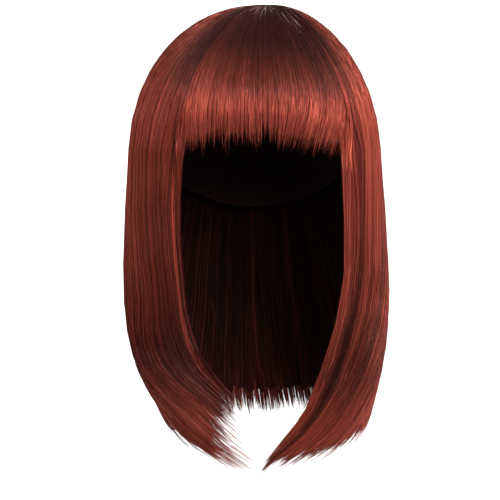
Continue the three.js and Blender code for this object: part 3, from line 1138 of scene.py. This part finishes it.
@dataclass
class Fringe(HairPiece):
    """The full straight fringe, from the crown down to its feathered edge."""

    node: str = "fringe"
    slot: str = "fringe_hair"
    start: float = -43.4
    stop: float = 52.8
    hangs: bool = False
    seed: int = 11
    runs: tuple[StrandRun, ...] = (
        StrandRun(
            Layer.OUTER, 2250, wander=0.16, shorter=1 * MM, feather=23 * MM, evenness=1.0, reach=-11 * MM,
            width=0.38 * MM, gather=(0.0, 0.28), contrast=0.08,
        ),
        StrandRun(
            Layer.ENDS, 1450, start=0.52, depth=(0.3, 1.05), wander=0.3, curl=0.9, shorter=0.5 * MM,
            feather=24 * MM, evenness=1.0, reach=-3 * MM, width=0.22 * MM, gather=(0.0, 0.5), tone=0.56,
        ),
        StrandRun(Layer.STRAY, 60, width=0.18 * MM, wander=0.6, shorter=2 * MM, tone=0.6),
    )
    clump_width: float = 1.9
    lock_depth: float = 0.38 * MM
    wall_stop: float = 0.68
    uneven: float = 1.4 * MM
    ripple: float = 0.12 * MM
    tip_drift: float = -11.0
    # Painted light and shade down the fringe: darker over the top where it faces up, then a painted highlight
    # band that lightens on to the tips
    down: SmoothTable = SmoothTable(
        ("station", "tone"),
        ((0.0, -0.12), (0.4, -0.16), (0.57, -0.12), (0.65, -0.07), (0.72, -0.03), (0.77, 0.14),
         (0.81, 0.32), (0.86, 0.42), (0.95, 0.48), (1.05, 0.5)),
    )
    across: SmoothTable = SmoothTable(
        ("turn", "tone"),
        ((-44, 0.21), (-30, 0.17), (-18, 0.06), (5, 0.01), (25, -0.03), (38, -0.12), (52, -0.09)),
    )
    trim: SmoothTable = SmoothTable(
        ("turn", "shorter"),
        ((-42, 1), (-33, 1), (-23, 5), (-15, 1), (-6, 0), (3, 3), (9, 2), (14, 0), (22, 3), (30, 1),
         (40, 2), (52, 0)),
    )


@dataclass
class LeftSideHair(HairPiece):
    """The curtain at the viewer's left, whose ends sweep inwards."""

    node: str = "side_hair_left"
    slot: str = "side_hair"
    start: float = -118
    stop: float = -43.4
    hangs: bool = True
    seed: int = 12
    # The face edge strands take a lower tone here: painted shade over an edge that the lamps light at a
    # grazing angle
    runs: tuple[StrandRun, ...] = hanging_runs(1270, 950, 340, 0.44)
    face_side: int = 1
    # Painted light and shade down the curtain: darker over the dome and low down, lighter at the widest level
    # and at the tips
    down: SmoothTable = SmoothTable(
        ("station", "tone"),
        ((0.0, -0.2), (0.5, -0.2), (0.65, -0.12), (0.75, 0.06), (0.84, 0.18), (0.94, 0.16), (1.05, 0.1),
         (1.25, 0.01), (1.5, -0.11), (1.66, -0.22), (1.8, -0.04), (2.0, 0.11)),
    )
    # Darker towards the face edge: painted shade over an edge that the lamps light at a grazing angle
    across: SmoothTable = SmoothTable(
        ("turn", "tone"),
        ((-118, 0.08), (-100, 0.12), (-90, 0.12), (-78, 0.1), (-66, 0.08), (-60, 0.0), (-54, -0.12),
         (-49, -0.1), (-46, -0.14), (-43, -0.12)),
    )
    trim: SmoothTable = SmoothTable(
        ("turn", "shorter"), ((-118, 9), (-102, 13), (-88, 14), (-76, 12), (-64, 7.5), (-54, 4), (-41, 2))
    )
    steer: SmoothTable = SmoothTable(
        ("turn", "shift"), ((-118, 0), (-95, -13), (-75, -22), (-60, -16), (-42, 0), (-40, 0))
    )


@dataclass
class RightSideHair(HairPiece):
    """The curtain at the viewer's right, whose ends curl in to a point."""

    node: str = "side_hair_right"
    slot: str = "side_hair"
    start: float = 52.8
    stop: float = 118
    hangs: bool = True
    seed: int = 13
    # The face edge strands take a lighter tone here: painted highlight along the edge
    runs: tuple[StrandRun, ...] = hanging_runs(1270, 900, 280, 0.7)
    face_side: int = -1
    # Painted light and shade down the curtain: darker over the top of the dome and low down, lighter around
    # the widest level and at the tips
    down: SmoothTable = SmoothTable(
        ("station", "tone"),
        ((0.0, -0.08), (0.4, -0.08), (0.52, 0.0), (0.62, 0.08), (0.72, 0.15), (0.82, 0.24), (0.94, 0.24),
         (1.05, 0.16), (1.25, 0.0), (1.5, -0.14), (1.68, -0.27), (1.84, -0.04), (2.0, 0.15)),
    )
    # A lighter strip at the face edge and a darker band just behind it: painted highlight and painted shade
    across: SmoothTable = SmoothTable(
        ("turn", "tone"),
        ((52, 0.18), (53.2, 0.12), (54.1, -0.08), (55, -0.16), (57.3, -0.16), (60.5, -0.03), (65, 0.06),
         (78, 0.04), (118, 0.04)),
    )
    trim: SmoothTable = SmoothTable(
        ("turn", "shorter"), ((50, -1), (56, -1), (64, 0), (80, 3), (92, 5), (104, 8), (118, 8))
    )
    steer: SmoothTable = SmoothTable(
        ("turn", "shift"), ((52, 0), (53.5, 2.5), (56, 4.5), (62, 4.5), (75, 2), (95, 0), (118, 0))
    )


@dataclass
class BackHair(HairPiece):
    """The hair at the back."""

    node: str = "back_hair"
    slot: str = "back_hair"
    start: float = 118
    stop: float = 242
    hangs: bool = True
    seed: int = 14
    runs: tuple[StrandRun, ...] = hanging_runs(1400, 2200, 260, tuft=0.1, feather=14 * MM)
    lock_width: float = 3.0
    clump_width: float = 1.0
    wall_stop: float = 0.95
    uneven: float = 1.3 * MM
    crowd: float = 0.42
    down: SmoothTable = SmoothTable(
        ("station", "tone"), ((0.0, 0.0), (1.6, 0.0), (1.8, -0.08), (2.0, -0.12))
    )
    trim: SmoothTable = SmoothTable(
        ("turn", "shorter"), ((-180, 0), (-152, 4), (-118, 17), (118, 9), (150, 2), (180, 0))
    )


@dataclass
class CrownSwirl:
    """The whorl at the crown: a low button of hair, and streaks of short strands that turn out of it.

    A long streak has the turn that it runs to and its length as a station.
    """

    flow: HairFlow
    radius: float = 8.5 * MM
    stretch: float = 1.15
    flatness: float = 0.45
    aside: float = 1.1 * MM
    sunk: float = 1.4 * MM
    strands: int = 450
    strand_radius: float = 0.17 * MM
    curl: float = 38.0
    streaks: int = 90
    long_streaks: tuple[Span, ...] = (
        (37.0, 0.4), (43.0, 0.34), (49.0, 0.28), (31.0, 0.3), (24.0, 0.27), (15.0, 0.22), (5.0, 0.24),
        (-12.0, 0.22), (-27.0, 0.25), (-38.0, 0.29), (-60.0, 0.25),
    )
    seed: int = 5

    def build(self) -> None:
        """Build the button and its strands."""
        self._build_button()
        self._build_strands()

    def _build_button(self) -> None:
        """Model the low button under the strands."""
        flow = self.flow
        top = flow.volume * flow.over_head.rows[0][1] + flow.seat
        bpy.ops.object.select_all(action="DESELECT")
        bpy.ops.mesh.primitive_uv_sphere_add(segments=32, ring_count=16, radius=self.radius)
        piece = bpy.context.object
        piece.name = piece.data.name = "crown_swirl_button"
        bpy.ops.object.mode_set(mode="EDIT")
        bpy.ops.mesh.select_all(action="SELECT")
        bpy.ops.transform.resize(value=(1.0, self.stretch, self.flatness), center_override=(0, 0, 0))
        bpy.ops.transform.translate(
            value=(flow.swirl_x - self.aside, flow.swirl_y, top - self.flatness * self.radius - self.sunk)
        )
        bpy.ops.object.mode_set(mode="OBJECT")
        bpy.ops.object.shade_smooth()
        mesh = piece.data
        mesh.uv_layers[0].name = UV_MAP
        # The button takes a low tone, most of the root colour and the shaded lock finish, so it carries
        # painted shade
        for label, value in (("tone", 0.15), ("root", 0.9)):
            store(mesh, label, np.full(len(mesh.vertices), value))
        mesh.materials.append(FINISHES["inner_locks"])
        ride(piece, "hair_roots", "crown_swirl")

    def _build_strands(self) -> None:
        """Lay short strands that curl out of the middle and lie along the hair."""
        rng, count, flow = np.random.default_rng(self.seed), self.strands, self.flow
        middle, reach = rng.uniform(-180, 180, self.streaks), rng.uniform(0.14, 0.32, self.streaks)
        shade = np.clip(rng.normal(0, 1, self.streaks), -1.6, 1.0)
        for number, (place, length) in enumerate(self.long_streaks):
            middle[number], reach[number], shade[number] = place, length, 0.75
        streak = rng.integers(0, self.streaks, count)
        turn = (middle[streak] + rng.normal(0, 0.6, count))[:, None]
        begin = rng.uniform(0.002, 0.02, (count, 1))
        length = (reach[streak] * rng.uniform(0.75, 1.1, count))[:, None]
        share = np.linspace(0, 1, 8)[None] ** 1.3
        station = begin + length * share
        coiled = self.curl * (1 - smoothstep(station, 0.0, 0.12))
        turn = turn + coiled + rng.normal(0, 0.8, (count, 1)) * share
        outward = flow.outward(turn, np.maximum(station, 0.02))
        high = flow.thickness(turn, station) * rng.uniform(1.0, 1.05, (count, 1)) - 0.9 * MM * (1 - share)
        path = flow.point(turn, station, flow.seat) + outward * high[..., None]
        taper = mix(1.0, 0.3, smoothstep(share, 0.6, 1.0))
        radius = self.strand_radius * taper * rng.uniform(0.7, 1.3, (count, 1))
        tone = (0.56 + 0.3 * shade[streak] + 0.1 * rng.normal(0, 1, count))[:, None]
        tone = np.clip(tone * mix(0.25, 1.0, smoothstep(station, 0.04, 0.13)), 0.02, 1.0)
        batch = StrandBatch()
        batch.add(path, radius, outward + rng.normal(0, 0.4, (count, 1, 3)), tone, np.zeros_like(station))
        ride(batch.mesh("crown_swirl_strands", FINISHES["root_strands"]), "hair_roots")


class WigCap:
    """The open cap under the hair."""

    def build(self) -> None:
        """Dress the cap's solid in dark net."""
        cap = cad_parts["cap"]
        cap.data.materials.clear()
        cap.data.materials.append(NetFinish().build())
        LOG.info("cap dressed")


@dataclass
class Studio:
    """White paper sweep, soft lights and the camera, in metres, degrees and watts."""

    distance: float = 1.7
    elevation: float = 5.0
    aim: Spot = (-4.7 * MM, 0.0, -177.9 * MM)
    seen: float = 0.39
    film: float = 36.0
    floor: float = -1.3
    floor_middle: float = 0.8
    floor_width: float = 3.84
    floor_depth: float = 3.4
    wall_height: float = 3.6
    bend: float = 1.2
    bend_steps: int = 24
    ambient: float = 0.3
    seen_white: float = 1.05

    def build(self) -> None:
        """Build the sweep, the lights and the camera."""
        self._sweep()
        self._lamp("key_light", (0.7, -1.6, 0.78), 0.9, 70.0)
        self._lamp("fill_light", (-1.2, -1.4, 0.5), 1.0, 13.0)
        self._lamp("side_light", (1.7, -0.5, 0.4), 0.9, 6.0)
        self._lamp("backdrop_light", (0.0, 1.3, 1.5), 1.6, 45.0, (0.0, 3.0, -0.2))
        self._air()
        bpy.context.scene.view_settings.view_transform = "Standard"
        self._camera()

    def _air(self) -> None:
        """Surround the scene with soft white light, seen as plain white."""
        world = bpy.data.worlds.new("studio_air")
        world.use_nodes = True
        nodes, links = world.node_tree.nodes, world.node_tree.links
        air = nodes["Background"]
        air.inputs["Color"].default_value = (1, 1, 1, 1)
        path = nodes.new("ShaderNodeLightPath")
        strength = nodes.new("ShaderNodeMapRange")
        strength.inputs["To Min"].default_value = self.ambient
        strength.inputs["To Max"].default_value = self.seen_white
        links.new(path.outputs["Is Camera Ray"], strength.inputs["Value"])
        links.new(strength.outputs["Result"], air.inputs["Strength"])
        bpy.context.scene.world = world

    def _sweep(self) -> None:
        """Model the floor that curves up into a backdrop."""
        middle = (0.0, self.floor_middle, self.floor)
        bpy.ops.object.select_all(action="DESELECT")
        bpy.ops.mesh.primitive_plane_add(size=1.0, location=middle)
        sweep = bpy.context.object
        sweep.name = sweep.data.name = "paper_sweep"
        bpy.ops.transform.resize(value=(self.floor_width, self.floor_depth, 1.0), center_override=middle)
        bpy.ops.object.transform_apply(location=True, rotation=True, scale=True)
        bpy.ops.object.mode_set(mode="EDIT")
        bpy.ops.mesh.select_all(action="DESELECT")
        bpy.ops.object.mode_set(mode="OBJECT")
        for edge in sweep.data.edges:
            edge.select = all(sweep.data.vertices[i].co.y > self.floor_middle for i in edge.vertices)
        bpy.ops.object.mode_set(mode="EDIT")
        bpy.ops.mesh.select_mode(type="EDGE")
        bpy.ops.mesh.extrude_region_move(TRANSFORM_OT_translate={"value": (0, 0, self.wall_height)})
        bpy.ops.object.mode_set(mode="OBJECT")
        bend = sweep.modifiers.new("bend", "BEVEL")
        bend.width = self.bend
        bend.segments = self.bend_steps
        bend.limit_method = "ANGLE"
        bpy.ops.object.modifier_apply(modifier="bend")
        bpy.ops.object.shade_smooth()
        sweep.data.materials.append(PaperFinish().build())

    def _lamp(
        self, name: str, place: Spot, size: float, power: float, target: Spot | None = None
    ) -> None:
        """Hang a soft box.

        Args:
            name: The lamp's name.
            place: Where it hangs.
            size: The side of its square face.
            power: Its power in watts.
            target: Where it looks, the middle of the hair by default.
        """
        lamp = bpy.data.lights.new(name, "AREA")
        lamp.size = size
        lamp.energy = power
        holder = bpy.data.objects.new(name, lamp)
        holder.location = place
        look = Vector(target or self.aim) - Vector(place)
        holder.rotation_euler = look.to_track_quat("-Z", "Y").to_euler()
        bpy.context.scene.collection.objects.link(holder)

    def _camera(self) -> None:
        """Set the camera at the photograph's angle and framing."""
        tilt = math.radians(self.elevation)
        lens = bpy.data.cameras.new("camera")
        lens.sensor_width = self.film
        lens.lens = self.film * self.distance / self.seen
        camera = bpy.data.objects.new("camera", lens)
        away = Vector((0.0, -math.cos(tilt), math.sin(tilt))) * self.distance
        camera.location = Vector(self.aim) + away
        camera.rotation_euler = (-away).to_track_quat("-Z", "Y").to_euler()
        bpy.context.scene.collection.objects.link(camera)
        bpy.context.scene.camera = camera


FINISHES: dict[str, bpy.types.Material] = {}


def prepare_finishes() -> None:
    """Build the finishes of the hair."""
    # The shaded finish is nearly black: painted shade over the inside of the hair, where the lamps still reach
    shade = HairFinish(
        name="shaded_fibre", roughness=0.7, metallic=0.0, specular=0.05, deep=(0.003, 0.001, 0.0008),
        dark=(0.0065, 0.0018, 0.0015), middle=(0.012, 0.003, 0.0024), light=(0.06, 0.011, 0.008),
    )
    # Painted sheen: the pale greyish middle and light colours stand for the glint on the whorl's strands,
    # whose own gloss is kept low
    roots = HairFinish(
        name="crown_fibre_painted_sheen", roughness=0.6, metallic=0.0, specular=0.15, deep=(0.006, 0.002, 0.002),
        dark=(0.02, 0.007, 0.006), middle=(0.125, 0.058, 0.05), light=(0.4, 0.25, 0.22),
        glint=(1.0, 0.85, 0.8),
    )
    finishes = {
        "strands": HairFinish(),
        "locks": HairFinish(name="auburn_lock", streaks=True, roughness=0.45),
        "inner_strands": shade,
        "root_strands": roots,
        "inner_locks": replace(shade, name="shaded_lock", streaks=True),
    }
    FINISHES.update({key: finish.build() for key, finish in finishes.items()})


def main() -> None:
    """Build the wig piece by piece, and the studio round it."""
    logging.basicConfig(level=logging.INFO, format="%(name)s %(message)s")
    prepare_finishes()
    WigCap().build()
    flow = HairFlow()
    for part in (Fringe, LeftSideHair, RightSideHair, BackHair, CrownSwirl):
        part(flow).build()
    Studio().build()


if __name__ == "__main__":
    main()
